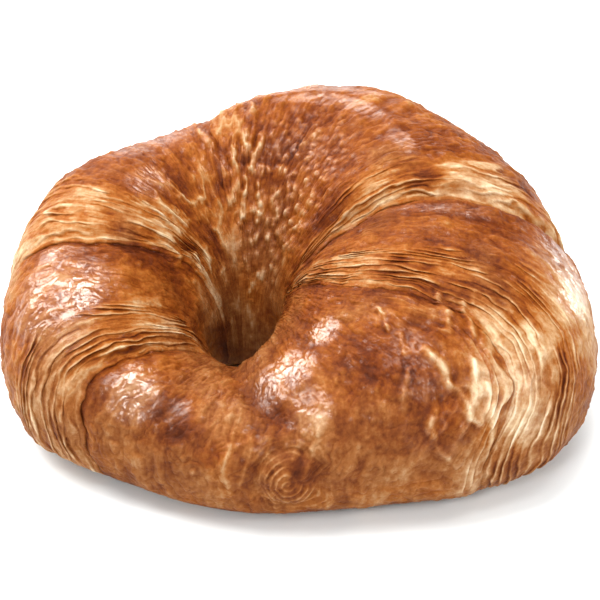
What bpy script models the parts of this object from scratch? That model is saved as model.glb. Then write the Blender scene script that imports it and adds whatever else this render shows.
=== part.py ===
"""Butter croissant, its two tips joined in front into a ring: one closed solid.

The form is a ring of sections round an upright axis through the hole. Each section is
four quarter curves that meet at the widest point, the crest, the waist of the hole and
the base. The wraps of dough are then raised and creased along slanting edge lines.
Angles go round the hole from the front (0), by the right (90) and the back (180).
Sizes are in millimetres until the mesh is made.
"""
import bpy
import numpy as np

MM = 0.001

# Where the axis of the hole stands, from the middle of the part's own box
HOLE_X = -11.6
HOLE_Y = -1.1

# The ring every 30 degrees from the front: radius of the outside and the height it is widest at
OUTSIDE = (53.5, 60.5, 77.3, 74.8, 68.5, 65, 49, 46.5, 52, 53, 55, 50.5)
WIDEST = (13, 15, 18, 20, 22, 24, 24, 23, 21, 19, 16, 13)

# Radius and height of the crest
CREST = (37, 37, 38.5, 40.5, 41, 41.5, 35, 30.5, 32, 32, 34, 35.5)
TOP = (24.5, 33, 43, 47, 51, 51.5, 50.5, 46.5, 46, 42.5, 35.5, 26.5)

# Radius of the hole at its waist, and the height of that waist
HOLE = (15, 11.5, 9, 7.5, 5.5, 4, 3.5, 4, 5, 7, 10, 13)
WAIST = (15, 18, 20, 18, 11, 7, 6, 7, 8, 10, 11, 12)

# How full each quarter of the section is: 2 is an ellipse, more is squarer
FULL_OUTER_TOP = 2.1
FULL_INNER_TOP = 1.9
FULL_INNER_BASE = 3.6
FULL_OUTER_BASE = 2.6
BELOW_BASE = 1.0

# Edges of the wraps: angle round the ring at six places round the section, every 60
# degrees from the outside over the crest (90) and the hole side (180) to the base (270)
EDGE_BACK = (-166, -168, -166, -172, -170, -168)
EDGE_LEFT = (-92, -88.5, -88, -125, -118, -100)
EDGE_FRONT_LEFT = (-42, -43, -32, -25, -30, -38)
SEAM = (18, 9, -4, -6, 4, 14)
EDGE_FRONT_RIGHT = (48, 58, 52, 70, 64, 52)
EDGE_RIGHT = (96, 95, 95, 80, 84, 92)

# One row for each edge: its line, which way its cut layers lie, how wide they are in
# degrees, how many leaves show, crease depth and width, height of its lip, height of a leaf
WRAPS = (
    (EDGE_BACK, -1, 14, 2, 0.8, 1.7, 0.7, 0.35),
    (EDGE_LEFT, -1, 28, 5, 1.4, 2.0, 0.9, 0.5),
    (EDGE_FRONT_LEFT, -1, 16, 4, 1.5, 1.7, 0.8, 0.6),
    (SEAM, 1, 8, 1, 1.5, 3.0, 0.5, 0.0),
    (EDGE_FRONT_RIGHT, 1, 18, 4, 1.0, 1.7, 1.2, 0.5),
    (EDGE_RIGHT, 1, 18, 3, 2.8, 2.0, 1.8, 0.6),
)
LIP_LENGTH = 16.0

# Rows of the mesh between one edge and the next, as runs of (share of the way, rows)
ROW_RUNS = (
    ((0.65, 14), (1.0, 20)),
    ((0.64, 9), (1.0, 16)),
    ((0.8, 13), (1.0, 7)),
    ((0.2, 5), (1.0, 11)),
    ((0.5, 14), (1.0, 7)),
    ((0.19, 13), (0.86, 14), (1.0, 5)),
)

# Section points over the shown half and under it
POINTS_OVER = 31
POINTS_UNDER = 9
OVER_FROM = -48.0
OVER_TO = 195.0

# Soft swellings of the crust: angle, place round the section, reach and height
SWELLINGS = (
    (36, 92, 9.0, 1.2),
    (84, 96, 8.0, 0.7),
    (-32, 60, 8.0, 0.8),
    (-70, 62, 9.0, 0.8),
    (-128, 100, 8.0, 0.7),
    (146, 70, 14.0, 0.8),
)

# The rolled end of the left tip, low on the front
ROLL_ANGLE = 10.0
ROLL_PLACE = 2.0
ROLL_REACH = 5.5
ROLL_HEIGHT = 1.0


def round_curve(values, degrees):
    """Smooth closed curve through values that stand at even angles, read at degrees."""
    values = np.asarray(values, dtype=float)
    count = len(values)
    step = 360.0 / count
    bend = np.zeros((count, count))
    pull = np.zeros(count)
    for i in range(count):
        before = (i - 1) % count
        after = (i + 1) % count
        bend[i, i] = 4.0
        bend[i, before] = 1.0
        bend[i, after] = 1.0
        pull[i] = 6.0 * (values[before] - 2.0 * values[i] + values[after])
    curve = np.linalg.solve(bend, pull)
    place = np.mod(np.asarray(degrees, dtype=float), 360.0) / step
    low = np.floor(place).astype(int) % count
    high = (low + 1) % count
    t = place - np.floor(place)
    u = 1.0 - t
    line = u * values[low] + t * values[high]
    return line + ((u ** 3 - u) * curve[low] + (t ** 3 - t) * curve[high]) / 6.0


def smooth(x):
    """Ease from 0 to 1."""
    x = np.clip(x, 0.0, 1.0)
    return x * x * (3.0 - 2.0 * x)


def plain_ring(turn, place):
    """Points of the ring with no wraps on it; turn and place in degrees."""
    outside = round_curve(OUTSIDE, turn)
    widest = round_curve(WIDEST, turn)
    crest = round_curve(CREST, turn)
    top = round_curve(TOP, turn)
    hole = round_curve(HOLE, turn)
    waist = round_curve(WAIST, turn)
    foot = 0.55 * outside + 0.45 * hole
    across = np.cos(np.radians(place))
    up = np.sin(np.radians(place))
    outer = across >= 0.0
    upper = up >= 0.0
    full = np.where(upper, np.where(outer, FULL_OUTER_TOP, FULL_INNER_TOP),
                    np.where(outer, FULL_OUTER_BASE, FULL_INNER_BASE))
    middle = np.where(upper, crest, foot)
    edge = np.where(outer, outside, hole)
    level = np.where(outer, widest, waist)
    rise = np.where(upper, top - level, level + BELOW_BASE)
    size = (np.abs(across) ** full + np.abs(up) ** full) ** (-1.0 / full)
    radius = middle + (edge - middle) * np.abs(across) * size
    height = level + rise * up * size
    angle = np.radians(turn)
    return np.stack([radius * np.sin(angle), -radius * np.cos(angle), height], axis=-1)


def turn_gap(turn, line):
    """Degrees from a line to a turn, the short way round."""
    return np.mod(turn - line + 180.0, 360.0) - 180.0


def relief(turn, place, points):
    """Height of wraps, creases, leaves and swellings over the plain ring."""
    radius = np.hypot(points[..., 0], points[..., 1])
    height = np.zeros_like(radius)
    for line, side, width, leaves, depth, crease, lip, leaf in WRAPS:
        gap = side * turn_gap(turn, round_curve(line, place))
        along = np.radians(gap) * radius
        share = gap / width
        past = np.radians(gap - width) * radius
        height -= depth * np.exp(-(along / crease) ** 2)
        height += lip * smooth(share) * np.exp(-np.maximum(past, 0.0) / LIP_LENGTH)
        inside = smooth(share * 4.0) * smooth((1.15 - share) * 4.0)
        height += leaf * inside * np.cos(2.0 * np.pi * leaves * (share - 1.0))
    for angle, where, reach, rise in SWELLINGS:
        centre = plain_ring(np.array(float(angle)), np.array(float(where)))
        away = np.linalg.norm(points - centre, axis=-1)
        height += rise * np.exp(-(away / reach) ** 2)
    centre = plain_ring(np.array(ROLL_ANGLE), np.array(ROLL_PLACE))
    away = np.linalg.norm(points - centre, axis=-1)
    height += ROLL_HEIGHT * np.exp(-(away / ROLL_REACH) ** 4)
    height -= 0.8 * ROLL_HEIGHT * np.exp(-((away - ROLL_REACH * 1.25) / 1.4) ** 2)
    clear_of_base = smooth((points[..., 2] - 1.0) / 6.0)
    clear_of_hole = smooth((radius - 4.0) / 22.0)
    return height * clear_of_base * clear_of_hole


def crust(turn, place):
    """Points of the finished surface."""
    small = 0.25
    points = plain_ring(turn, place)
    round_way = plain_ring(turn + small, place) - plain_ring(turn - small, place)
    over_way = plain_ring(turn, place + small) - plain_ring(turn, place - small)
    out = np.cross(round_way, over_way)
    out /= np.linalg.norm(out, axis=-1, keepdims=True)
    points = points + out * relief(turn, place, points)[..., None]
    points[..., 2] = np.maximum(points[..., 2], 0.0)
    return points


def section_places():
    """Places round the section: close over the shown half, wide under it."""
    over = np.linspace(OVER_FROM, OVER_TO, POINTS_OVER)
    under = np.linspace(OVER_TO, OVER_FROM + 360.0, POINTS_UNDER + 2)[1:-1]
    return np.concatenate([over, under])


def ring_turns(places):
    """One line of turns for each row, so that rows run along the wrap edges."""
    lines = [round_curve(wrap[0], places) for wrap in WRAPS]
    lines.append(lines[0] + 360.0)
    rows = []
    for start, end, runs in zip(lines[:-1], lines[1:], ROW_RUNS):
        begun = 0.0
        for reached, count in runs:
            for step in range(count):
                share = begun + (reached - begun) * step / count
                rows.append(start + (end - start) * share)
            begun = reached
    return np.array(rows)


def model_croissant(collection):
    """Torus of the right grid, its points moved onto the crust."""
    places = section_places()
    turns = ring_turns(places)
    points = crust(turns, np.broadcast_to(places, turns.shape))
    points = points + np.array([HOLE_X, HOLE_Y, 0.0])
    points = points.reshape(-1, 3)
    print("box mm", np.round(points.min(axis=0), 2), np.round(points.max(axis=0), 2))
    rows, count = turns.shape
    bpy.ops.mesh.primitive_torus_add(major_segments=rows, minor_segments=count,
                                     major_radius=36 * MM, minor_radius=22 * MM)
    croissant = bpy.context.active_object
    croissant.name = "croissant"
    croissant.data.name = "croissant"
    croissant.data.vertices.foreach_set("co", (points * MM).ravel())
    croissant.data.update()
    croissant.data.shade_smooth()
    for holder in list(croissant.users_collection):
        holder.objects.unlink(croissant)
    collection.objects.link(croissant)
    return croissant


def crust_material():
    """Baked crust, one plain tone."""
    material = bpy.data.materials.new("baked_crust")
    material.use_nodes = True
    shader = material.node_tree.nodes["Principled BSDF"]
    shader.inputs["Base Color"].default_value = (0.46, 0.17, 0.045, 1.0)
    shader.inputs["Roughness"].default_value = 0.45
    return material


for old in list(bpy.data.objects):
    bpy.data.objects.remove(old, do_unlink=True)

butter_croissant = bpy.data.collections.new("butter_croissant")
bpy.context.scene.collection.children.link(butter_croissant)
model_croissant(butter_croissant).data.materials.append(crust_material())
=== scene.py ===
"""Butter croissant, dressed: five wraps of laminated dough with cut leaves and egg-washed crust.

The crust is the same ring of sections as the solid it stands for, at a much finer grid, with
the relief that baking gives it. Each wrap is a closed piece that ends under its neighbour or
over it. Angles go round the hole from the front (0), by the right (90) and the back (180).
Places go round a section from its outside (0), over the crest (90), down the hole side (180)
to the base (270). Sizes are in millimetres until a mesh is made.
"""

from types import SimpleNamespace

import bpy
import numpy as np
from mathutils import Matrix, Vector


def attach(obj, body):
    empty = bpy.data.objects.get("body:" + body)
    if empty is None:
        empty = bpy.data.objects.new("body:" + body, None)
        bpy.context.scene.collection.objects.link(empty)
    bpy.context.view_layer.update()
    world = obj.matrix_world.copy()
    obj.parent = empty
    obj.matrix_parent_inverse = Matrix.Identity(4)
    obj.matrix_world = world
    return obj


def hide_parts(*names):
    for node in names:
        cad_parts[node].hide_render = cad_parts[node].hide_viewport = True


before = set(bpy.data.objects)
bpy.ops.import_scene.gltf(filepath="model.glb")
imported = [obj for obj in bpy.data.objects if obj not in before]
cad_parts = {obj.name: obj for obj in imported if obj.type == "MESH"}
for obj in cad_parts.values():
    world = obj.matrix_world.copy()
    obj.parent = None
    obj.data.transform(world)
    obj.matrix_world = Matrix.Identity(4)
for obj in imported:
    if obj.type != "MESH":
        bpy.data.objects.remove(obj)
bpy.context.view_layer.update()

MM = 0.001

# Where the axis of the hole stands, from the middle of the croissant's box
HOLE_X = -11.6
HOLE_Y = -1.1

# The ring every 30 degrees from the front: radius of the outside and the height it is widest at
OUTSIDE = (53.5, 60.5, 77.3, 74.8, 68.5, 65, 49, 46.5, 52, 53, 55, 50.5)
WIDEST = (13, 15, 18, 20, 22, 24, 24, 23, 21, 19, 16, 13)

# Radius and height of the crest
CREST = (37, 37, 38.5, 40.5, 41, 41.5, 35, 30.5, 32, 32, 34, 35.5)
TOP = (24.5, 33, 43, 47, 51, 51.5, 50.5, 46.5, 46, 42.5, 35.5, 26.5)

# Radius of the hole at its waist, and the height of that waist
HOLE = (15, 11.5, 9, 7.5, 5.5, 4, 3.5, 4, 5, 7, 10, 13)
WAIST = (15, 18, 20, 18, 11, 7, 6, 7, 8, 10, 11, 12)

# How full each quarter of the section is: 2 is an ellipse, more is squarer
FULL_OUTER_TOP = 2.1
FULL_INNER_TOP = 1.9
FULL_INNER_BASE = 3.6
FULL_OUTER_BASE = 2.6
BELOW_BASE = 1.0

# Edges of the wraps: angle round the ring at six places round the section, every 60
# degrees from the outside over the crest (90) and the hole side (180) to the base (270)
EDGE_BACK = (-166, -168, -166, -172, -170, -168)
EDGE_LEFT = (-92, -88.5, -88, -125, -118, -100)
EDGE_FRONT_LEFT = (-42, -43, -32, -25, -30, -38)
SEAM = (18, 9, -4, -6, 4, 14)
EDGE_FRONT_RIGHT = (48, 58, 52, 70, 64, 52)
EDGE_RIGHT = (96, 95, 95, 80, 84, 92)

# One row for each edge: its line, which way its cut layers lie, how wide they are in
# degrees, crease depth and width, height of its lip; and how far back a lip runs out
EDGES = (
    (EDGE_BACK, -1, 14, 0.8, 1.7, 0.7),
    (EDGE_LEFT, -1, 28, 1.4, 2.0, 0.9),
    (EDGE_FRONT_LEFT, -1, 16, 1.5, 1.7, 0.8),
    (SEAM, 1, 8, 1.5, 3.0, 0.5),
    (EDGE_FRONT_RIGHT, 1, 18, 1.0, 1.7, 1.2),
    (EDGE_RIGHT, 1, 18, 2.8, 2.0, 1.8),
)
BACK, LEFT, FRONT_LEFT, JOIN, FRONT_RIGHT, RIGHT = range(6)
LIP_LENGTH = 16.0

# Turns the noise away from the axes, so that its own grid doesn't show
TILT = np.array(((2.0, 2.0, 1.0), (-2.0, 1.0, 2.0), (1.0, -2.0, 2.0))) / 3.0

# Places between which the back edge of the middle wrap fades towards the hole
BACK_FADES = (100.0, 150.0)

# Places between which the seam of the tips fades towards the outside
SEAM_FADES = (25.0, 70.0)

# One row for each wrap: name, edge it starts at, edge it ends at, rows of its mesh, and the
# shares of its way at the start and the end where the rows lie closer; how much closer, and
# the share of the way that the first and the last row keep from the edges
WRAPS = (
    ("left_back_wrap", BACK, LEFT, 236, 0.0, 0.36),
    ("left_wrap", LEFT, FRONT_LEFT, 190, 0.0, 0.4),
    ("joined_tips", FRONT_LEFT, FRONT_RIGHT, 314, 0.0, 0.08),
    ("right_wrap", FRONT_RIGHT, RIGHT, 200, 0.5, 0.0),
    ("centre_wrap", RIGHT, BACK, 310, 0.24, 0.16),
)
CLOSER = 0.9
KEPT_FROM_EDGE = 0.002

# Section points over the shown half and under it
POINTS_OVER = 272
POINTS_UNDER = 28
OVER_FROM = -50.0
OVER_TO = 200.0

# How a wrap ends over its neighbour, and how it ends under one: steps ahead and down; then
# the sizes to which its last row shrinks before it closes in a point
OVER_END = ((0.35, 0.0), (0.6, 0.1), (0.72, 0.34), (0.62, 0.7), (0.2, 1.15), (-0.8, 2.0),
            (-2.0, 4.0))
UNDER_END = ((0.6, 0.0), (1.3, 0.25), (2.2, 0.8), (3.2, 2.0), (4.0, 4.0))
CLOSING = (0.62, 0.25)

# Soft swellings of the crust: angle, place round the section, reach and height
SWELLINGS = (
    (36, 92, 9.0, 1.2),
    (84, 96, 8.0, 0.7),
    (-32, 60, 8.0, 0.8),
    (-70, 62, 9.0, 0.8),
    (-128, 100, 8.0, 0.7),
    (146, 70, 14.0, 0.8),
)

# The rolled end of the left tip, low on the front, and the spiral of dough that shows on it
ROLL_ANGLE = 10.0
ROLL_PLACE = 2.0
ROLL_REACH = 5.5
ROLL_HEIGHT = 1.0
SPIRAL_REACH = 9.0
SPIRAL_PITCH = 1.35

# Cut leaves: edge, which way they lie, how wide in degrees, how many, how tall, how pale, how
# clear cut, how ragged, and the places that they run between; a row's number seeds its pattern
LEAVES = (
    (LEFT, -1, 28, 9, 0.50, 0.15, 0.55, 1.0, -60, 155),
    (FRONT_LEFT, -1, 18, 8, 0.70, 0.08, 0.95, 0.9, -60, 165),
    (FRONT_RIGHT, 1, 18, 12, 0.45, 0.10, 0.85, 0.8, -60, 170),
    (FRONT_RIGHT, -1, 7, 4, 0.40, 0.06, 0.80, 0.6, -60, 96),
    (RIGHT, 1, 18, 9, 0.45, 0.16, 0.70, 1.1, -60, 165),
    (BACK, -1, 16, 6, 0.45, 0.12, 0.60, 1.0, -60, 92),
)

# How far the edges wander from their smooth lines
EDGE_WANDERS = 1.1

# Heights over the base and distances from the axis of the hole between which the broad relief,
# the marks of baking and the fine lines of the dough come in
RELIEF_FROM_BASE = (1.0, 7.0)
RELIEF_FROM_AXIS = (4.0, 26.0)
MARKS_FROM_BASE = (1.0, 6.0)
MARKS_FROM_AXIS = (3.0, 13.0)
LINES_FROM_AXIS = (8.0, 32.0)

# How far apart the marks of baking are
SWELLS = 11.0
BLISTERS = 6.0
FOLDS = 3.2
ISLANDS = 2.3
PIMPLES = 2.1
CRUST_GRAINS = 1.9
GOOSE_BUMPS = 1.65
CRACKLES = 1.6
FINE_FOLDS = 1.2

# Goose bumps, torn streaks and the streaks over the rolled tip: angle, place, half reach round
# and over in degrees
BUMPED = (154, 138, 42, 38)
FEATHERED = (-128, 138, 44, 36)
OVER_ROLL = (-3, 30, 7, 34)

# Where the crust has split into veins: the same, and how much
SPLIT = (
    (48, 44, 14, 42, 1.0),
    (134, 22, 14, 24, 0.9),
    (-142, 24, 12, 22, 0.9),
)

# Radius of the crest at which the lines of the dough are as far apart as they are said to be
LINES_RADIUS = 45.0

# Strands of torn dough on the right tip and beside the back edge: half width, how tall, how
# pale, and the angles and places that each runs through
STRANDS = (
    (0.6, 0.70, 0.34, ((58, 75), (56, 69), (52, 63))),
    (0.6, 0.70, 0.34, ((60, 67), (55, 56))),
    (0.9, 0.90, 0.42, ((46, 60), (46, 50), (44, 41))),
    (0.7, 0.80, 0.38, ((45, 42), (46, 33), (45, 25))),
    (0.6, 0.70, 0.34, ((41, 38), (38, 25), (40, 4))),
    (0.9, 0.70, 0.34, ((51, 46), (48, 34), (46, 23))),
    (0.6, 0.60, 0.30, ((50, 36), (48, 12), (46, -12))),
    (0.6, 0.60, 0.34, ((44, 72), (42, 64))),
    (0.5, 0.50, 0.32, ((47, 88), (44, 78))),
    (0.5, 0.50, 0.26, ((40, 56), (36, 44))),
    (0.8, 0.80, 0.26, ((178, 88), (180, 104), (181, 113))),
    (0.6, 0.70, 0.24, ((172, 107), (175, 116), (180, 121), (181, 136))),
    (0.8, 0.70, 0.24, ((198, 88), (197, 103), (193, 118))),
    (0.6, 0.60, 0.22, ((186, 108), (190, 118), (192, 130))),
)

# Colours of the crust from its darkest to its palest, where it is brown and where it is amber
BROWN_CRUST = ((0.0, "#431C0A"), (0.15, "#5B2B11"), (0.30, "#733F1B"), (0.45, "#8A572E"),
               (0.58, "#9C724D"), (0.72, "#B28E6B"), (0.86, "#C8AE8F"), (1.0, "#D6C5AC"))
AMBER_CRUST = ((0.0, "#441A07"), (0.15, "#602A0B"), (0.30, "#7B3E10"), (0.45, "#935520"),
               (0.58, "#A17347"), (0.72, "#B3906B"), (0.86, "#C7AF8C"), (1.0, "#D5C4A9"))

# Paler and browner places, and two of painted shade by the right crease down the hole side: angle,
# place, half reach round and over, how much
PALE_BROWN_AND_SHADED = (
    (-104, 92, 7, 22, 0.06),
    (-128, 140, 26, 20, -0.09),
    (-130, 128, 22, 10, 0.08),
    (-173, 115, 8, 18, 0.06),
    (104, 60, 7, 22, 0.14),
    (58, 112, 10, 14, 0.12),
    (60, 46, 4, 14, 0.22),
    (53, 22, 7, 24, 0.26),
    (69, 78, 3, 22, 0.08),
    (60, 88, 9, 18, -0.05),
    (88, 76, 6, 26, -0.05),
    (17, 46, 4, 14, 0.14),
    (-90, 30, 18, 14, 0.20),
    (76, 26, 10, 26, 0.33),
    (-135, 105, 14, 9, -0.10),
    (-75, 118, 12, 20, -0.06),
    (-52, 112, 14, 14, 0.08),
    (-20, 50, 7, 22, -0.20),
    (-12, 34, 6, 20, -0.16),
    (36, 66, 10, 20, -0.16),
    (40, 50, 5, 16, -0.08),
    (14, 8, 14, 16, -0.06),
    (84, 80, 8, 40, -0.02),
    (103, 88, 3, 6, -0.28),
    (104, 46, 3, 7, -0.20),
    # Painted shade by the right crease, down the hole side
    (92, 146, 12, 14, -0.16),
    (106, 128, 8, 14, -0.24),
    (122, 75, 10, 22, -0.02),
    (150, 145, 40, 22, 0.10),
    (-150, 185, 60, 14, -0.12),
    (158, 12, 24, 16, 0.12),
    (124, 20, 10, 22, 0.10),
    (146, 44, 16, 9, -0.14),
    (168, 30, 3, 20, 0.12),
    (-140, 14, 18, 16, 0.12),
    (-156, 42, 12, 11, -0.14),
)

# Glossiest places of the egg wash: angle, place, half reach round and over, how much
GLOSSY = (
    (-81, 70, 5, 16, 1.0),
    (-66, 62, 14, 34, 1.0),
    (-32, 58, 8, 26, 1.0),
    (-18, 62, 4, 14, 0.45),
    (-5, 84, 12, 14, 0.25),
    (14, 92, 11, 16, 1.0),
    (32, 100, 6, 10, 0.8),
    (9, 78, 5, 10, 0.8),
    (17, 58, 6, 16, 0.8),
    (44, 60, 5, 22, 0.35),
    (54, 30, 6, 26, 0.9),
    (82, 40, 10, 20, 0.9),
    (78, 85, 8, 26, 0.2),
    (165, 76, 30, 8, 0.6),
    (150, 90, 20, 5, 0.8),
    (120, 92, 10, 4, 0.7),
    (89, 84, 2.5, 22, 0.6),
    (-150, 80, 16, 12, 0.5),
    (-124, 106, 8, 9, 0.9),
    (-116, 104, 6, 10, 0.6),
    (-140, 78, 20, 14, 0.4),
    (138, 36, 15, 13, 0.9),
    (164, 26, 8, 16, 0.7),
    (-154, 34, 11, 14, 0.9),
)

# Patterns of the crust's material, in millimetres: blots and specks of the egg wash, the edges
# of thin leaves, and wrinkles of the skin, with the most that they stand out
BLOTS = 3.2
SPECKS = 0.9
THIN_LEAVES = 0.9
WRINKLES = 1.6
WRINKLE_DEPTH = 0.35

# How much the blots and the specks swing the tone, and what comes off again, so that the tone
# alone says how brown the crust is
BLOT_SWING = 0.32
SPECK_SWING = 0.34
SWINGS_OFF = 0.355

# Soft boxes behind, at the sides, overhead and in front, and a broad fill in front: name,
# place, width and height in metres, power in watts
LIGHTS = (
    ("back_strip", (-0.05, 0.90, 0.20), 0.70, 0.10, 2.0),
    ("back_box", (-0.08, 0.86, 0.55), 0.60, 0.18, 2.2),
    ("back_left_box", (-0.68, 0.50, 0.52), 0.62, 0.44, 9.0),
    ("top_left_box", (-0.42, 0.02, 0.82), 0.38, 0.38, 4.8),
    ("top_box", (0.03, 0.10, 0.95), 0.30, 0.24, 4.5),
    ("top_front_box", (0.24, -0.14, 0.92), 0.26, 0.26, 2.0),
    ("right_box", (0.75, 0.60, 0.10), 0.25, 0.16, 2.5),
    ("front_right_box", (0.72, -0.41, 0.56), 0.26, 0.26, 3.0),
    ("front_left_box", (-0.30, -0.80, 0.62), 0.20, 0.20, 3.0),
    ("front_fill", (0.10, -1.10, 0.70), 1.80, 1.10, 4.8),
)
LIGHTS_AIM = (0.0, 0.0, 0.02)
WARM_WHITE = (1.0, 0.945, 0.885)
LIGHT_ALL_ROUND = 0.43
FLOOR_SIZE = 6.0

# The camera: its distance in metres, its height in degrees above level, the point that it aims
# at in millimetres from the foot of the hole's axis, the width in metres that fills its frame
# there, and the width of its sensor in millimetres
CAMERA_DISTANCE = 0.8
CAMERA_LIFT = 35.0
CAMERA_AIM = (12.0, 4.0, 20.0)
CAMERA_FRAME = 0.1332
SENSOR_WIDTH = 36.0


def round_curve(values, degrees):
    """Smooth closed curve through values that stand at even angles, read at degrees."""
    values = np.asarray(values, dtype=float)
    count = len(values)
    step = 360.0 / count
    bend = np.zeros((count, count))
    pull = np.zeros(count)
    for i in range(count):
        before = (i - 1) % count
        after = (i + 1) % count
        bend[i, i] = 4.0
        bend[i, before] = 1.0
        bend[i, after] = 1.0
        pull[i] = 6.0 * (values[before] - 2.0 * values[i] + values[after])
    curve = np.linalg.solve(bend, pull)
    place = np.mod(np.asarray(degrees, dtype=float), 360.0) / step
    low = np.floor(place).astype(int) % count
    high = (low + 1) % count
    t = place - np.floor(place)
    u = 1.0 - t
    line = u * values[low] + t * values[high]
    return line + ((u ** 3 - u) * curve[low] + (t ** 3 - t) * curve[high]) / 6.0


def smooth(x):
    """Ease from 0 to 1."""
    x = np.clip(x, 0.0, 1.0)
    return x * x * (3.0 - 2.0 * x)


def rising(x, start, end):
    """0 up to start, easing to 1 at end."""
    return smooth((x - start) / (end - start))


def plain_ring(turn, place):
    """Points of the ring with no wraps on it; turn and place in degrees."""
    outside = round_curve(OUTSIDE, turn)
    widest = round_curve(WIDEST, turn)
    crest = round_curve(CREST, turn)
    top = round_curve(TOP, turn)
    hole = round_curve(HOLE, turn)
    waist = round_curve(WAIST, turn)
    foot = 0.55 * outside + 0.45 * hole
    across = np.cos(np.radians(place))
    up = np.sin(np.radians(place))
    outer = across >= 0.0
    upper = up >= 0.0
    full = np.where(upper, np.where(outer, FULL_OUTER_TOP, FULL_INNER_TOP),
                    np.where(outer, FULL_OUTER_BASE, FULL_INNER_BASE))
    middle = np.where(upper, crest, foot)
    edge = np.where(outer, outside, hole)
    level = np.where(outer, widest, waist)
    rise = np.where(upper, top - level, level + BELOW_BASE)
    size = (np.abs(across) ** full + np.abs(up) ** full) ** (-1.0 / full)
    radius = middle + (edge - middle) * np.abs(across) * size
    height = level + rise * up * size
    angle = np.radians(turn)
    return np.stack([radius * np.sin(angle), -radius * np.cos(angle), height], axis=-1)


def turn_gap(turn, line):
    """Degrees from a line to a turn, the short way round."""
    return np.mod(turn - line + 180.0, 360.0) - 180.0


def edge_shown(line, place):
    """How much an edge shows at a place, from 0 to 1."""
    if line is SEAM:
        return rising(place, *SEAM_FADES)
    if line is EDGE_BACK:
        return 1.0 - 0.8 * rising(place, *BACK_FADES)
    return 1.0


def broad_relief(turn, place, points):
    """Height of wraps, creases and swellings over the plain ring."""
    radius = np.hypot(points[..., 0], points[..., 1])
    height = np.zeros_like(radius)
    for line, side, width, depth, crease, lip in EDGES:
        gap = side * turn_gap(turn, round_curve(line, place))
        along = np.radians(gap) * radius
        past = np.radians(gap - width) * radius
        shown = edge_shown(line, place)
        height -= depth * shown * np.exp(-(along / crease) ** 2)
        height += lip * shown * smooth(gap / width) * np.exp(-np.maximum(past, 0.0) / LIP_LENGTH)
    for angle, where, reach, rise in SWELLINGS:
        centre = plain_ring(np.array(float(angle)), np.array(float(where)))
        away = np.linalg.norm(points - centre, axis=-1)
        height += rise * np.exp(-(away / reach) ** 2)
    centre = plain_ring(np.array(ROLL_ANGLE), np.array(ROLL_PLACE))
    away = np.linalg.norm(points - centre, axis=-1)
    height += ROLL_HEIGHT * np.exp(-(away / ROLL_REACH) ** 4)
    height -= 0.8 * ROLL_HEIGHT * np.exp(-((away - ROLL_REACH * 1.25) / 1.4) ** 2)
    clear_of_base = rising(points[..., 2], *RELIEF_FROM_BASE)
    clear_of_hole = rising(radius, *RELIEF_FROM_AXIS)
    return height * clear_of_base * clear_of_hole


def chance(cell, seed):
    """A steady value from 0 to 1 for each whole-number cell."""
    cell = cell.astype(np.int64)
    mixed = cell[..., 0] * 73856093 ^ cell[..., 1] * 19349663 ^ cell[..., 2] * 83492791
    mixed = (mixed ^ (seed * 2654435761)) & 0xFFFFFFFF
    mixed = ((mixed ^ (mixed >> 15)) * 2246822519) & 0xFFFFFFFF
    mixed = ((mixed ^ (mixed >> 13)) * 3266489917) & 0xFFFFFFFF
    return (mixed ^ (mixed >> 16)) / 4294967296.0


def drift(points, size, seed):
    """Soft unevenness from -1 to 1, whose lumps are about size apart."""
    scaled = points @ TILT / size
    cell = np.floor(scaled)
    part = smooth(scaled - cell)
    total = np.zeros(points.shape[:-1])
    for dx in (0, 1):
        for dy in (0, 1):
            for dz in (0, 1):
                share = np.ones_like(total)
                for axis, step in enumerate((dx, dy, dz)):
                    share = share * (part[..., axis] if step else 1.0 - part[..., axis])
                total += share * chance(cell + np.array([dx, dy, dz]), seed)
    return total * 2.0 - 1.0


def rough(points, size, seed, times=3):
    """Drift at several sizes, each half the one before."""
    total = np.zeros(points.shape[:-1])
    share = 1.0
    for halved in range(times):
        total += share * drift(points, size / 2 ** halved, seed + halved)
        share *= 0.5
    return total / 1.6


def sway(points, size, seed):
    """Drift in three directions, to bend a pattern with."""
    return np.stack([drift(points, size, seed + axis) for axis in range(3)], axis=-1)


def cells(points, size, seed):
    """Distance to the nearest of scattered points, in cells, and a value for that point."""
    scaled = points / size
    home = np.floor(scaled)
    nearest = np.full(points.shape[:-1], 9.0)
    value = np.zeros(points.shape[:-1])
    for dx in (-1, 0, 1):
        for dy in (-1, 0, 1):
            for dz in (-1, 0, 1):
                cell = home + np.array([dx, dy, dz])
                spot = cell + np.stack([chance(cell, seed + k) for k in range(3)], axis=-1)
                away = np.linalg.norm(scaled - spot, axis=-1)
                nearer = away < nearest
                value = np.where(nearer, chance(cell, seed + 7), value)
                nearest = np.where(nearer, away, nearest)
    return nearest, value


def stretched(grain, across, along):
    """Grain scaled across the lines of the dough and along them; below 1 draws a pattern out."""
    return grain * np.array([across, across, along])


def lined(dough, apart, stretch, seed, bend=0.0):
    """Drift whose lines run over the section, as far apart down in the hole as on the crest."""
    closing = np.clip(np.log2(LINES_RADIUS / dough.radius), 0.0, 3.0)
    low = np.floor(closing)
    part = smooth(closing - low)
    total = np.zeros_like(closing)
    for step, share in ((0.0, 1.0 - part), (1.0, part)):
        closer = 0.5 ** (low + step)
        flow = dough.grain * np.stack([closer, closer, np.full_like(closer, stretch)], axis=-1)
        total += share * drift(flow + bend, apart, seed)
    return total


def patch(dough, angle, where, half_turn, half_place):
    """1 in the middle of a patch of the crust, falling softly to 0 at its rim."""
    away = turn_gap(dough.turn, angle) / half_turn
    return np.exp(-(away ** 2 + ((dough.place - where) / half_place) ** 2) ** 2)


def strongest(dough, patches):
    """At each point of the crust the strongest of some patches, each with its amount."""
    most = np.zeros_like(dough.turn)
    for angle, where, half_turn, half_place, amount in patches:
        most = np.maximum(most, amount * patch(dough, angle, where, half_turn, half_place))
    return most


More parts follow.
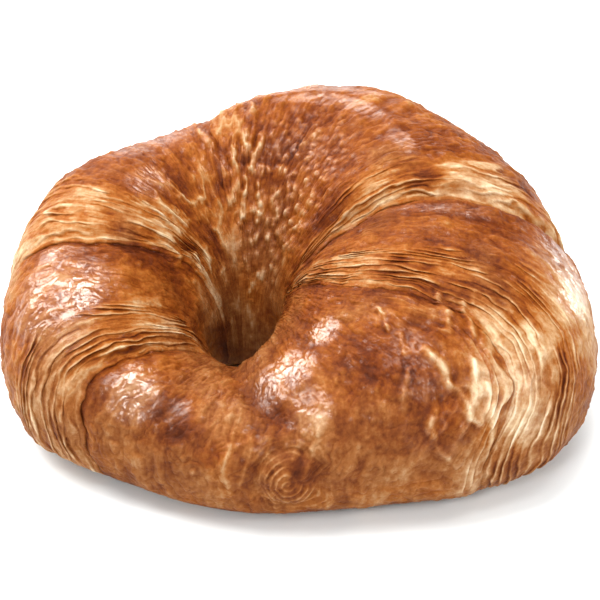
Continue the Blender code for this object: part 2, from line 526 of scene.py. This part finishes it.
def section_places():
    """Places round the section: close over the shown half, wide under it."""
    over = np.linspace(OVER_FROM, OVER_TO, POINTS_OVER)
    under = np.linspace(OVER_TO, OVER_FROM + 360.0, POINTS_UNDER + 2)[1:-1]
    return np.concatenate([over, under])


def row_shares(rows, closer_start, closer_end):
    """Shares of the way at which the rows of a wrap lie, closer over its cut leaves."""
    at = np.linspace(0.0, 1.0, 600)
    weight = 1.0 + CLOSER * ((at < closer_start) | (at > 1.0 - closer_end))
    reached = np.cumsum(weight)
    reached = (reached - reached[0]) / (reached[-1] - reached[0])
    return np.interp(np.linspace(KEPT_FROM_EDGE, 1.0 - KEPT_FROM_EDGE, rows), reached, at)


def outward(turn, place):
    """Points of the plain ring, their outward directions and the way round the ring."""
    small = 0.25
    points = plain_ring(turn, place)
    round_way = plain_ring(turn + small, place) - plain_ring(turn - small, place)
    over_way = plain_ring(turn, place + small) - plain_ring(turn, place - small)
    out = np.cross(round_way, over_way)
    out /= np.linalg.norm(out, axis=-1, keepdims=True)
    round_way /= np.linalg.norm(round_way, axis=-1, keepdims=True)
    return points, out, round_way


def lay_out(start, end, rows, closer_start, closer_end):
    """The dough of one wrap before it is baked: its grid, and nothing worked into it yet."""
    places = section_places()
    start_line = round_curve(EDGES[start][0], places)
    end_line = round_curve(EDGES[end][0], places)
    end_line = start_line + np.mod(end_line - start_line, 360.0)
    shares = row_shares(rows, closer_start, closer_end)[:, None]
    turn = start_line + (end_line - start_line) * shares
    place = np.broadcast_to(places, turn.shape)
    points, out, round_way = outward(turn, place)

    # Lines of the dough run over the section, so the grain follows the rows
    crest_turn = np.radians(turn[:, np.argmin(np.abs(places - 90.0))])[:, None]
    steps = np.linalg.norm(np.diff(points, axis=1, prepend=points[:, :1]), axis=-1)
    along = np.cumsum(steps, axis=1)
    grain = np.stack(np.broadcast_arrays(LINES_RADIUS * np.cos(crest_turn),
                                         LINES_RADIUS * np.sin(crest_turn), along), axis=-1)
    none = np.zeros(turn.shape)
    return SimpleNamespace(
        turn=turn, place=place, points=points, out=out, round_way=round_way, grain=grain,
        along=along, radius=np.hypot(points[..., 0], points[..., 1]), height=none.copy(),
        slide=none.copy(), tone=none.copy(), painted_shade=none.copy(), layer=none.copy())


def cut_leaves(dough):
    """Cut leaves of dough beside the edges: steps up from the crease, pale where they are cut."""
    flow = stretched(dough.grain, 1.0, 0.4)
    wobble = rough(flow, 11.0, 11)
    ragged = rough(flow, 3.0, 12)
    stained = rough(flow, 6.0, 13)
    flecks = rough(stretched(dough.grain, 1.0, 0.35), 1.5, 66, 2)
    whole = smooth(0.55 + 1.5 * rough(stretched(dough.grain, 1.0, 0.5), 2.4, 64, 2))
    for number, row in enumerate(LEAVES):
        edge, side, width, count, tall, pale, clear, torn, low, high = row
        gap = side * turn_gap(dough.turn, round_curve(EDGES[edge][0], dough.place))
        share = gap / width
        here = smooth((dough.place - low) / 20.0) * smooth((high - dough.place) / 20.0)
        rim = 1.0 + 0.45 * ragged + 0.25 * wobble
        inside = here * smooth(share * 8.0 + 0.4) * smooth((rim - share) * 3.0)
        inside = inside * (share > -0.2)
        dough.layer = np.maximum(dough.layer, inside)
        bunched = 0.35 * np.sin(2.0 * np.pi * (1.7 * share + 0.37 * number))
        phase = count * share + bunched + 1.4 * wobble * (0.3 + share) + torn * ragged
        leaf = np.floor(phase)
        saw = phase - leaf
        own = np.stack([leaf * 3.7 + number * 31.0, dough.along / 7.0,
                        np.zeros_like(leaf)], axis=-1)
        strength = np.clip(0.60 + 1.3 * drift(own, 1.0, 61), 0.0, 1.4)
        browned = drift(own, 1.4, 62)
        step = smooth(saw / 0.22) * (1.0 - smooth((saw - 0.2) / 0.8))
        dough.height += inside * tall * strength * (0.5 + 0.5 * whole) * (step - 0.35)
        dough.height += inside * 0.16 * flecks
        dough.slide -= side * inside * clear * strength * 0.45 * step
        # Painted shade in the slots between the leaves
        slot_shade = np.exp(-(saw / 0.11) ** 2) + np.exp(-((1.0 - saw) / 0.15) ** 2)
        shade = inside * clear * strength * (0.2 + 0.5 * whole) * slot_shade
        dough.painted_shade = np.maximum(dough.painted_shade, shade)
        cut = np.exp(-((saw - 0.28) / 0.16) ** 2)
        dough.tone += inside * (pale + 0.18 * stained + 0.12 * browned + 0.16 * flecks)
        dough.tone += inside * strength * (0.12 + 0.16 * clear) * (cut - 0.25)


def crease_edges(dough):
    """Creases, in painted shade, where one wrap goes under another, and the raised rim that lies
    over them.
    """
    ragged = 0.85 + 0.4 * rough(stretched(dough.grain, 0.2, 1.0), 6.0, 15, 2)
    nought = np.zeros_like(dough.place)
    for number, (line, side, _, depth, crease, _) in enumerate(EDGES):
        gap = side * turn_gap(dough.turn, round_curve(line, dough.place))
        away = np.radians(gap) * dough.radius
        wander = np.stack([nought + 19.0 * number, dough.place / 12.0, nought], axis=-1)
        dough.slide += EDGE_WANDERS * rough(wander, 1.0, 18, 2) * np.exp(-(away / 5.0) ** 2)
        shown = edge_shown(line, dough.place)
        # The seam between the joined tips gets a soft band of painted shade
        if number == JOIN:
            dough.painted_shade = np.maximum(dough.painted_shade, 0.35 * shown * np.exp(-(away / 2.6) ** 2))
            continue
        over = gap >= 0.0
        deep = min(depth, 2.0)
        rim = 0.35 * deep * ragged * shown * np.exp(-(away / 1.1) ** 2)
        dough.height += np.where(over, rim, 0.0)
        shade = np.where(over, 0.2 * np.exp(-(away / 0.5) ** 2),
                         np.exp(-(away / (0.9 * crease)) ** 2))
        dough.painted_shade = np.maximum(dough.painted_shade, shade * shown * deep / 3.0)
        # Painted shade on the wrap that goes under, beside the crease
        beside = 0.09 * shown * np.exp(-(away / 3.5) ** 2) * deep / 2.0
        dough.tone -= np.where(over, 0.0, beside)
        # Painted highlight along the lip of the rim
        lit = 0.14 * shown * np.exp(-((away - 0.7) / 0.7) ** 2) * deep / 2.0
        lit = lit * smooth((150.0 - dough.place) / 40.0)
        dough.tone += np.where(over, lit, 0.0)


def baked_skin(dough):
    """What baking gives the free crust: folds with the dough, blisters, pimples and grooves."""
    free = (1.0 - 0.75 * dough.layer) * (1.0 - 0.8 * dough.sleek)
    points = dough.points

    # Soft dents and swells
    dough.height += 0.55 * (1.0 - 0.7 * dough.sleek) * drift(points, SWELLS, 80)

    # Folds that follow the dough
    fold = 1.0 - np.abs(lined(dough, FOLDS, 0.26, 81))
    dough.height += 0.30 * (1.0 - 0.7 * dough.sleek) * (fold ** 3 - 0.4)
    dough.tone += 0.10 * (fold ** 3 - 0.4)
    fine_fold = 1.0 - np.abs(lined(dough, FINE_FOLDS, 0.32, 83))
    fine = 1.0 + 1.2 * dough.layer
    dough.height += 0.10 * fine * (1.0 - 0.85 * dough.sleek) * fine_fold ** 2
    dough.tone += 0.05 * fine * (fine_fold ** 2 - 0.4)

    # Blisters
    near, value = cells(points + 1.5 * sway(points, 4.0, 71), BLISTERS, 3)
    blister = smooth(1.0 - near / 0.75) * value
    dough.height += free * 0.80 * (blister - 0.25)
    dough.tone += free * 0.08 * (blister - 0.25)

    # Pimples
    near, value = cells(points, PIMPLES, 4)
    pimple = smooth(1.0 - near / 0.6) * value ** 2
    dough.height += free * 0.35 * pimple
    dough.tone += free * 0.12 * (pimple - 0.1)

    # Narrow grooves of the egg-washed skin, between smooth islands
    flow = stretched(dough.grain, 1.0, 0.5) + 0.9 * sway(points, 2.6, 74)
    gully = np.minimum(np.abs(drift(flow, ISLANDS, 85)), 0.04 + np.abs(drift(flow, 1.3, 86)))
    groove = smooth(1.0 - gully / 0.18)
    dough.height += free * 0.20 * smooth(gully / 0.5)
    dough.height -= 0.11 * (1.0 - 0.75 * dough.layer) * (1.0 - 0.5 * dough.sleek) * groove
    dough.tone -= free * 0.09 * (groove - 0.25)
    dough.sleek = dough.sleek * (1.0 - 0.7 * groove)

    # Crackle of thick egg wash
    bent = points + 0.4 * drift(points, 1.5, 79)[..., None]
    crackle = 1.0 - np.abs(drift(bent, CRACKLES, 87))
    dough.height += 0.14 * dough.sleek * (crackle ** 2 - 0.4)
    dough.tone -= 0.10 * dough.sleek * (crackle ** 6 - 0.2)

    # Grains of the crust, and finer ones between them
    crag = 1.0 - np.abs(drift(points, CRUST_GRAINS, 88))
    dough.height += 0.14 * free * (crag ** 3 - 0.4) + 0.05 * free * drift(points, 0.9, 89)
    dough.tone += 0.05 * free * (crag ** 3 - 0.4)


def goose_bumps(dough):
    """Goose bumps down the hole side of the middle wrap, pale and shiny at their tips."""
    grainy = patch(dough, *BUMPED)
    bent = dough.points + 0.5 * sway(dough.points, 1.7, 31)
    near, value = cells(stretched(bent, 1.0, 0.6), GOOSE_BUMPS, 5)
    bump = smooth(1.2 - near / 0.55) * smooth(0.3 + 1.7 * value)
    dough.height += grainy * (1.00 * bump - 0.30)
    dough.tone += grainy * (0.35 * bump - 0.15)
    dough.sleek = np.maximum(dough.sleek, 0.6 * grainy * bump)


def torn_streaks(dough):
    """Short torn streaks down the hole side of the left back wrap and beside the back edge."""
    feathered = patch(dough, *FEATHERED)
    edge = round_curve(EDGE_BACK, dough.place)
    beside = np.exp(-((turn_gap(dough.turn, edge) + 6.0) / 13.0) ** 4)
    beside = beside * smooth((155.0 - dough.place) / 30.0) * smooth((dough.place - 55.0) / 20.0)
    torn = np.maximum(feathered, 0.7 * beside)
    warp = 0.7 * sway(dough.points, 3.0, 34)
    ridge = 1.0 - np.abs(lined(dough, 2.4, 0.30, 37, warp))
    finer = 1.0 - np.abs(lined(dough, 1.3, 0.34, 39, warp))
    broken = smooth(0.7 + 1.4 * lined(dough, 2.6, 0.40, 38, warp))
    streak = np.maximum(ridge ** 4, 0.6 * finer ** 5) * broken
    dough.height += torn * (0.90 * streak - 0.30)
    dough.tone += torn * (0.56 * streak - 0.12)


def split_veins(dough):
    """Pale torn ridges that run down over pits, where the right tip and the back have split."""
    veined = strongest(dough, SPLIT)
    points = dough.points
    warp = 0.8 * (sway(points, 3.0, 41) + 0.5 * sway(points, 1.5, 44))
    across = np.abs(lined(dough, 2.6, 0.24, 47, warp))
    finer = np.abs(lined(dough, 1.4, 0.30, 48, warp))
    broken = smooth(0.8 + 1.6 * drift(points, 3.6, 46))
    vein = np.maximum(smooth(1.0 - across / 0.24), 0.6 * smooth(1.0 - finer / 0.20)) * broken
    pit = smooth(across / 0.6)
    dough.height += veined * (0.35 * vein - 0.35 * pit)
    dough.tone += veined * (0.12 * vein - 0.04 * pit)
    dough.sleek = np.maximum(dough.sleek, 0.35 * veined * vein)


def torn_strands(dough):
    """Long pale strands where the crust has split and torn, each with a furrow along it."""
    points = dough.points
    warp = 0.7 * sway(points, 2.6, 21) + 0.35 * sway(points, 1.2, 24)
    frayed = smooth(0.95 + 1.0 * drift(points, 2.8, 27))
    for half_width, tall, pale, way in STRANDS:
        turns, places = np.array(way, dtype=float).T
        knots = plain_ring(turns, places)
        away = np.full(points.shape[:-1], 99.0)
        for knot, leg in zip(knots[:-1], np.diff(knots, axis=0)):
            reach = points + warp - knot
            share = np.clip(reach @ leg / (leg @ leg), 0.0, 1.0)
            away = np.minimum(away, np.linalg.norm(reach - share[..., None] * leg, axis=-1))
        strand = frayed * np.exp(-(away / half_width) ** 2)
        furrow = np.exp(-((away - 2.4 * half_width) / (0.9 * half_width)) ** 2)
        dough.height += tall * (strand - 0.35 * furrow)
        dough.tone += pale * strand - 0.07 * furrow
        dough.sleek = np.maximum(dough.sleek, 0.4 * strand)


def tip_spiral(dough):
    """The spiral of the rolled left tip, low on the front, and the streaks that run down to it."""
    centre = plain_ring(np.array(ROLL_ANGLE), np.array(ROLL_PLACE))
    gap = dough.points - centre
    reach = np.linalg.norm(gap, axis=-1) + 1.6 * rough(dough.points, 6.0, 91, 2)
    turned = np.arctan2(gap[..., 2], gap[..., 0])
    coil = np.cos(2.0 * np.pi * (reach / SPIRAL_PITCH - turned / (2.0 * np.pi)))
    on_roll = np.exp(-(reach / SPIRAL_REACH) ** 4)
    line = smooth(coil * smooth(0.6 + drift(dough.points, 4.0, 92)))
    dough.height += 0.18 * on_roll * line
    dough.tone += on_roll * (0.23 * line - 0.09)

    streaked = patch(dough, *OVER_ROLL) * (1.0 - on_roll)
    warp = 0.5 * drift(dough.points, 5.0, 94)[..., None]
    streak = (1.0 - np.abs(lined(dough, 1.7, 0.07, 93, warp))) ** 3
    dough.height += streaked * 0.45 * streak
    dough.tone += streaked * (0.34 * streak - 0.10)


def browning(dough):
    """How brown the crust is before its leaves and bumps: patchy, darker on top, paler low down."""
    points = dough.points
    on_top = rising(points[..., 2], 10.0, 34.0)
    dough.tone += 0.39 - 0.05 * on_top + 0.06 * rough(points, 14.0, 51)
    dough.tone += 0.07 * rough(stretched(dough.grain, 1.0, 0.2), 5.0, 52)
    dough.tone += 0.07 * lined(dough, 1.7, 0.16, 55) + 0.04 * drift(points, 2.6, 53)
    high_up = rising(points[..., 2], 16.0, 38.0)
    dough.amber = smooth(0.20 + 1.0 * rough(points, 9.0, 59) + 0.65 * high_up)
    mottled = np.clip(2.2 * rough(points, 5.0, 54), -1.0, 1.0)
    dough.tone += 0.05 * mottled
    # Patches of colour, two of them painted shade by the right crease
    for angle, where, half_turn, half_place, amount in PALE_BROWN_AND_SHADED:
        dough.tone += amount * patch(dough, angle, where, half_turn, half_place)


def egg_wash(dough):
    """Where the egg wash lies thick, so that the crust is sleek and glossy."""
    gloss = strongest(dough, GLOSSY)
    gloss = gloss * smooth((gloss - 0.08) / 0.35)
    dough.sleek = gloss * smooth(0.9 + 0.9 * rough(dough.points, 6.0, 57, 2))


def bake(dough):
    """Move the points of the dough by all that was worked into it."""
    points = dough.points
    held = rising(points[..., 2], *MARKS_FROM_BASE) * rising(dough.radius, *MARKS_FROM_AXIS)
    height = broad_relief(dough.turn, dough.place, points) + dough.height * held
    droplets = smooth(3.0 * drift(points, 1.4, 58) - 1.3)
    facing_up = smooth((dough.out[..., 2] - 0.4) / 0.3)
    gloss = np.maximum(0.25 * droplets * facing_up, dough.sleek)
    dough.wash = gloss * (1.0 - 0.6 * dough.layer) * (1.0 - dough.painted_shade)
    dough.lines = (0.20 + 0.34 * dough.layer) * rising(dough.radius, *LINES_FROM_AXIS)
    # Painted highlight: the crust is made lighter where the egg wash is glossy; painted shade
    # darkens the creases, the seam and the slots between leaves
    dough.tone += 0.10 * dough.wash - 0.34 * dough.painted_shade
    slide = dough.slide * held
    dough.points = points + dough.out * height[..., None] + dough.round_way * slide[..., None]


def end_rows(dough, row, ahead, over):
    """Rows past one end of a wrap, outwards: curled over the next wrap or tucked under it."""
    last = dough.points[row]
    way = ahead * dough.round_way[row]
    down = -dough.out[row]
    # Never quite 0 at the base, so that no two rows lie on each other there
    clear_of_base = 0.12 + 0.88 * rising(last[:, 2], *RELIEF_FROM_BASE)
    ragged = 0.7 + 0.6 * rough(stretched(dough.grain[row], 0.2, 1.0), 4.0, 17 + row % 7)
    steps = OVER_END if over else UNDER_END
    rows = []
    for forward, lower in steps:
        reach = forward * (np.clip(ragged, 0.3, 1.3) * clear_of_base if over else 1.0)
        rows.append(last + way * np.broadcast_to(reach, ragged.shape)[:, None] + down * lower)
    middle = rows[-1].mean(axis=0)
    for share in CLOSING:
        rows.append(middle + (rows[-1] - middle) * share)
    return rows, middle


def closed_wrap(dough, over_start, over_end):
    """The wrap with both ends closed: its rows, and the point in the middle of each end."""
    before, first = end_rows(dough, 0, -1.0, over_start)
    after, last = end_rows(dough, -1, 1.0, over_end)
    points = np.concatenate([np.array(before[::-1]), dough.points, np.array(after)])
    points[..., 2] = np.maximum(points[..., 2], 0.0)
    traits = {}
    for name in ("tone", "lines", "wash", "amber", "grain"):
        own = getattr(dough, name)
        head = np.repeat(own[:1], len(before), axis=0)
        tail = np.repeat(own[-1:], len(after), axis=0)
        traits[name] = np.concatenate([head, own, tail])
    return points, traits, (first, last)


def closed_faces(rows, count):
    """Faces between rows of points that close on themselves, with a fan over each end."""
    number = np.arange(rows * count).reshape(rows, count)
    beside = np.roll(number, -1, axis=1)
    sides = np.stack([number[:-1], number[1:], beside[1:], beside[:-1]], axis=-1).reshape(-1, 4)
    first, last = rows * count, rows * count + 1
    first_end = np.stack([np.full(count, first), number[0], beside[0]], axis=-1)
    last_end = np.stack([np.full(count, last), beside[-1], number[-1]], axis=-1)
    return sides.tolist() + first_end.tolist() + last_end.tolist()


def bake_map(rows, count):
    """Map of those faces: it runs with the rows one way and round the section the other."""
    u = np.linspace(0.01, 0.99, rows)
    v = np.arange(count + 1) / count
    low, high = np.meshgrid(u[:-1], v[:-1], indexing="ij")
    right, up = np.meshgrid(u[1:], v[1:], indexing="ij")
    sides = np.stack([low, high, right, high, right, up, low, up], axis=-1)
    middle = (v[:-1] + v[1:]) / 2.0
    flat = np.zeros(count)
    first_end = np.stack([flat, middle, flat + u[0], v[:-1], flat + u[0], v[1:]], axis=-1)
    last_end = np.stack([flat + 1.0, middle, flat + u[-1], v[1:], flat + u[-1], v[:-1]], axis=-1)
    return np.concatenate([sides.ravel(), first_end.ravel(), last_end.ravel()])


def make_wrap(name, start, end, rows, closer_start, closer_end):
    """One wrap of the croissant as a closed mesh."""
    dough = lay_out(start, end, rows, closer_start, closer_end)
    browning(dough)
    egg_wash(dough)
    cut_leaves(dough)
    crease_edges(dough)
    baked_skin(dough)
    goose_bumps(dough)
    torn_streaks(dough)
    split_veins(dough)
    torn_strands(dough)
    tip_spiral(dough)
    bake(dough)
    points, traits, middles = closed_wrap(dough, EDGES[start][1] > 0, EDGES[end][1] < 0)

    row_count, count = points.shape[:2]
    places = np.concatenate([points.reshape(-1, 3), middles]) + np.array([HOLE_X, HOLE_Y, 0.0])
    mesh = bpy.data.meshes.new(name)
    mesh.from_pydata(places * MM, [], closed_faces(row_count, count))
    mesh.uv_layers.new(name="OFBake").data.foreach_set("uv", bake_map(row_count, count))

    grain = traits.pop("grain")
    for trait, values in traits.items():
        ends = [values[0].mean(), values[-1].mean()]
        held = mesh.attributes.new(trait, "FLOAT", "POINT")
        held.data.foreach_set("value", np.concatenate([values.ravel(), ends]).astype(np.float32))
    ends = [grain[0, 0], grain[-1, 0]]
    lines = np.concatenate([grain.reshape(-1, 3), ends]) * MM
    held = mesh.attributes.new("grain", "FLOAT_VECTOR", "POINT")
    held.data.foreach_set("vector", lines.ravel().astype(np.float32))
    mesh.update()
    mesh.shade_smooth()
    wrap = bpy.data.objects.new(name, mesh)
    bpy.context.scene.collection.objects.link(wrap)
    return wrap


def colour(hex_value):
    """sRGB hex value to linear colour."""
    parts = [int(hex_value[i:i + 2], 16) / 255.0 for i in (1, 3, 5)]
    linear = [c / 12.92 if c <= 0.04045 else ((c + 0.055) / 1.055) ** 2.4 for c in parts]
    return (*linear, 1.0)


def every(mm):
    """Texture scale at which a pattern repeats about every mm millimetres."""
    return 1000.0 / mm


def add(tree, kind, inputs, **settings):
    """Add a node, with its settings and its inputs: a value, or a socket to link."""
    made = tree.nodes.new(kind)
    for name, value in settings.items():
        setattr(made, name, value)
    for name, value in inputs.items():
        if isinstance(value, bpy.types.NodeSocket):
            tree.links.new(value, made.inputs[name])
        else:
            made.inputs[name].default_value = value
    return made


def crust_colour(tree, place, lines):
    """Colour of the crust: its tone with blots, specks and leaves in it, brown or amber."""
    tone = add(tree, "ShaderNodeAttribute", {}, attribute_name="tone").outputs["Fac"]
    swing = add(tree, "ShaderNodeAttribute", {}, attribute_name="lines").outputs["Fac"]
    # Sugar in the egg wash gives amber places about 9 mm across, most of them on top
    amber = add(tree, "ShaderNodeAttribute", {}, attribute_name="amber").outputs["Fac"]
    # Egg wash browns in blots, with specks between them
    blots = add(tree, "ShaderNodeTexNoise",
                {"Vector": place, "Scale": every(BLOTS), "Detail": 5.0, "Roughness": 0.65,
                 "Distortion": 0.4}).outputs["Fac"]
    specks = add(tree, "ShaderNodeTexNoise",
                 {"Vector": place, "Scale": every(SPECKS), "Detail": 3.0,
                  "Roughness": 0.6}).outputs["Fac"]

    streaks = add(tree, "ShaderNodeMath", {0: lines, 1: 0.5}, operation="SUBTRACT").outputs[0]
    level = add(tree, "ShaderNodeMath", {0: streaks, 1: swing, 2: tone},
                operation="MULTIPLY_ADD").outputs[0]
    level = add(tree, "ShaderNodeMath", {0: blots, 1: BLOT_SWING, 2: level},
                operation="MULTIPLY_ADD").outputs[0]
    level = add(tree, "ShaderNodeMath", {0: specks, 1: SPECK_SWING, 2: level},
                operation="MULTIPLY_ADD").outputs[0]
    level = add(tree, "ShaderNodeMath", {0: level, 1: SWINGS_OFF}, operation="SUBTRACT").outputs[0]

    tints = []
    for stops in (BROWN_CRUST, AMBER_CRUST):
        ramp = add(tree, "ShaderNodeValToRGB", {"Fac": level})
        while len(ramp.color_ramp.elements) < len(stops):
            ramp.color_ramp.elements.new(0.5)
        for element, (position, tint) in zip(ramp.color_ramp.elements, stops):
            element.position = position
            element.color = colour(tint)
        tints.append(ramp.outputs["Color"])
    return add(tree, "ShaderNodeMix", {0: amber, 6: tints[0], 7: tints[1]},
               data_type="RGBA").outputs[2]


def crust_skin(tree, place, lines, wash):
    """Fine wrinkles of the crust's skin, and its leaves, both flatter under the egg wash."""
    skin = add(tree, "ShaderNodeTexNoise",
               {"Vector": place, "Scale": every(WRINKLES), "Detail": 3.0, "Roughness": 0.55,
                "Distortion": 0.6}).outputs["Fac"]
    height = add(tree, "ShaderNodeMath", {0: lines, 1: 0.8, 2: skin},
                 operation="MULTIPLY_ADD").outputs[0]
    wrinkled = add(tree, "ShaderNodeMapRange",
                   {"Value": wash, "To Min": 0.9, "To Max": 0.25}).outputs["Result"]
    return add(tree, "ShaderNodeBump", {"Height": height, "Strength": wrinkled,
                                        "Distance": WRINKLE_DEPTH * MM}).outputs["Normal"]


def crust_material():
    """Egg-washed laminated dough, baked: glossy orange brown, pale and matt at its cut leaves."""
    made = bpy.data.materials.new("egg_washed_crust")
    made.use_nodes = True
    tree = made.node_tree
    tree.nodes.clear()
    place = add(tree, "ShaderNodeTexCoord", {}).outputs["Object"]
    grain = add(tree, "ShaderNodeAttribute", {}, attribute_name="grain").outputs["Vector"]
    drawn_out = add(tree, "ShaderNodeVectorMath", {0: grain, 1: (1.0, 1.0, 0.22)},
                    operation="MULTIPLY").outputs[0]
    lines = add(tree, "ShaderNodeTexNoise",
                {"Vector": drawn_out, "Scale": every(THIN_LEAVES), "Detail": 3.0,
                 "Roughness": 0.6}).outputs["Fac"]
    wash = add(tree, "ShaderNodeAttribute", {}, attribute_name="wash").outputs["Fac"]
    bump = crust_skin(tree, place, lines, wash)
    # Dry crust is matt; the egg wash on it is a thin smooth coat
    shader = add(tree, "ShaderNodeBsdfPrincipled",
                 {"Base Color": crust_colour(tree, place, lines), "Roughness": 0.5, "IOR": 1.45,
                  "Specular IOR Level": 0.08, "Normal": bump, "Coat Weight": wash,
                  "Coat Roughness": 0.16, "Coat IOR": 1.85, "Coat Normal": bump,
                  "Subsurface Weight": 0.08, "Subsurface Radius": (1.0, 0.45, 0.2),
                  "Subsurface Scale": 0.8 * MM})
    add(tree, "ShaderNodeOutputMaterial", {"Surface": shader.outputs["BSDF"]})
    return made


def floor_material():
    """Painted board, matt and a cool white, so that it shows nothing but soft shadow."""
    made = bpy.data.materials.new("matt_white_board")
    made.use_nodes = True
    shader = made.node_tree.nodes["Principled BSDF"]
    shader.inputs["Base Color"].default_value = colour("#EDF6FC")
    shader.inputs["Roughness"].default_value = 0.7
    return made


def make_floor():
    """Pale floor under the croissant."""
    bpy.ops.mesh.primitive_plane_add(size=FLOOR_SIZE, location=(0.0, 0.0, 0.0))
    floor = bpy.context.active_object
    floor.name = "floor"
    floor.data.materials.append(floor_material())


def make_light(name, place, width, tall, power):
    """One soft light, aimed at the croissant."""
    lamp = bpy.data.lights.new(name, "AREA")
    lamp.shape = "RECTANGLE"
    lamp.size = width
    lamp.size_y = tall
    lamp.energy = power
    lamp.color = WARM_WHITE
    holder = bpy.data.objects.new(name, lamp)
    holder.location = place
    towards = Vector(LIGHTS_AIM) - Vector(place)
    holder.rotation_euler = towards.to_track_quat("-Z", "Y").to_euler()
    bpy.context.scene.collection.objects.link(holder)


def make_world():
    """Plain white light from all round."""
    world = bpy.data.worlds.new("studio")
    world.use_nodes = True
    background = world.node_tree.nodes["Background"]
    background.inputs["Color"].default_value = (1.0, 1.0, 1.0, 1.0)
    background.inputs["Strength"].default_value = LIGHT_ALL_ROUND
    bpy.context.scene.world = world


def make_camera():
    """Long lens from the front, well above level."""
    lift = np.radians(CAMERA_LIFT)
    aim = (np.array([HOLE_X, HOLE_Y, 0.0]) + CAMERA_AIM) * MM
    lens = bpy.data.cameras.new("camera")
    lens.sensor_width = SENSOR_WIDTH
    lens.lens = SENSOR_WIDTH * CAMERA_DISTANCE / CAMERA_FRAME
    camera = bpy.data.objects.new("camera", lens)
    camera.location = aim + CAMERA_DISTANCE * np.array([0.0, -np.cos(lift), np.sin(lift)])
    camera.rotation_euler = (np.pi / 2 - lift, 0.0, 0.0)
    bpy.context.scene.collection.objects.link(camera)
    bpy.context.scene.camera = camera


crust_finish = crust_material()
for wrap_row in WRAPS:
    wrap = make_wrap(*wrap_row)
    wrap.data.materials.append(crust_finish)
    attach(wrap, "root")
    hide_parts("croissant")

make_floor()
for light_row in LIGHTS:
    make_light(*light_row)
make_world()
make_camera()
bpy.context.scene.view_settings.view_transform = "Standard"
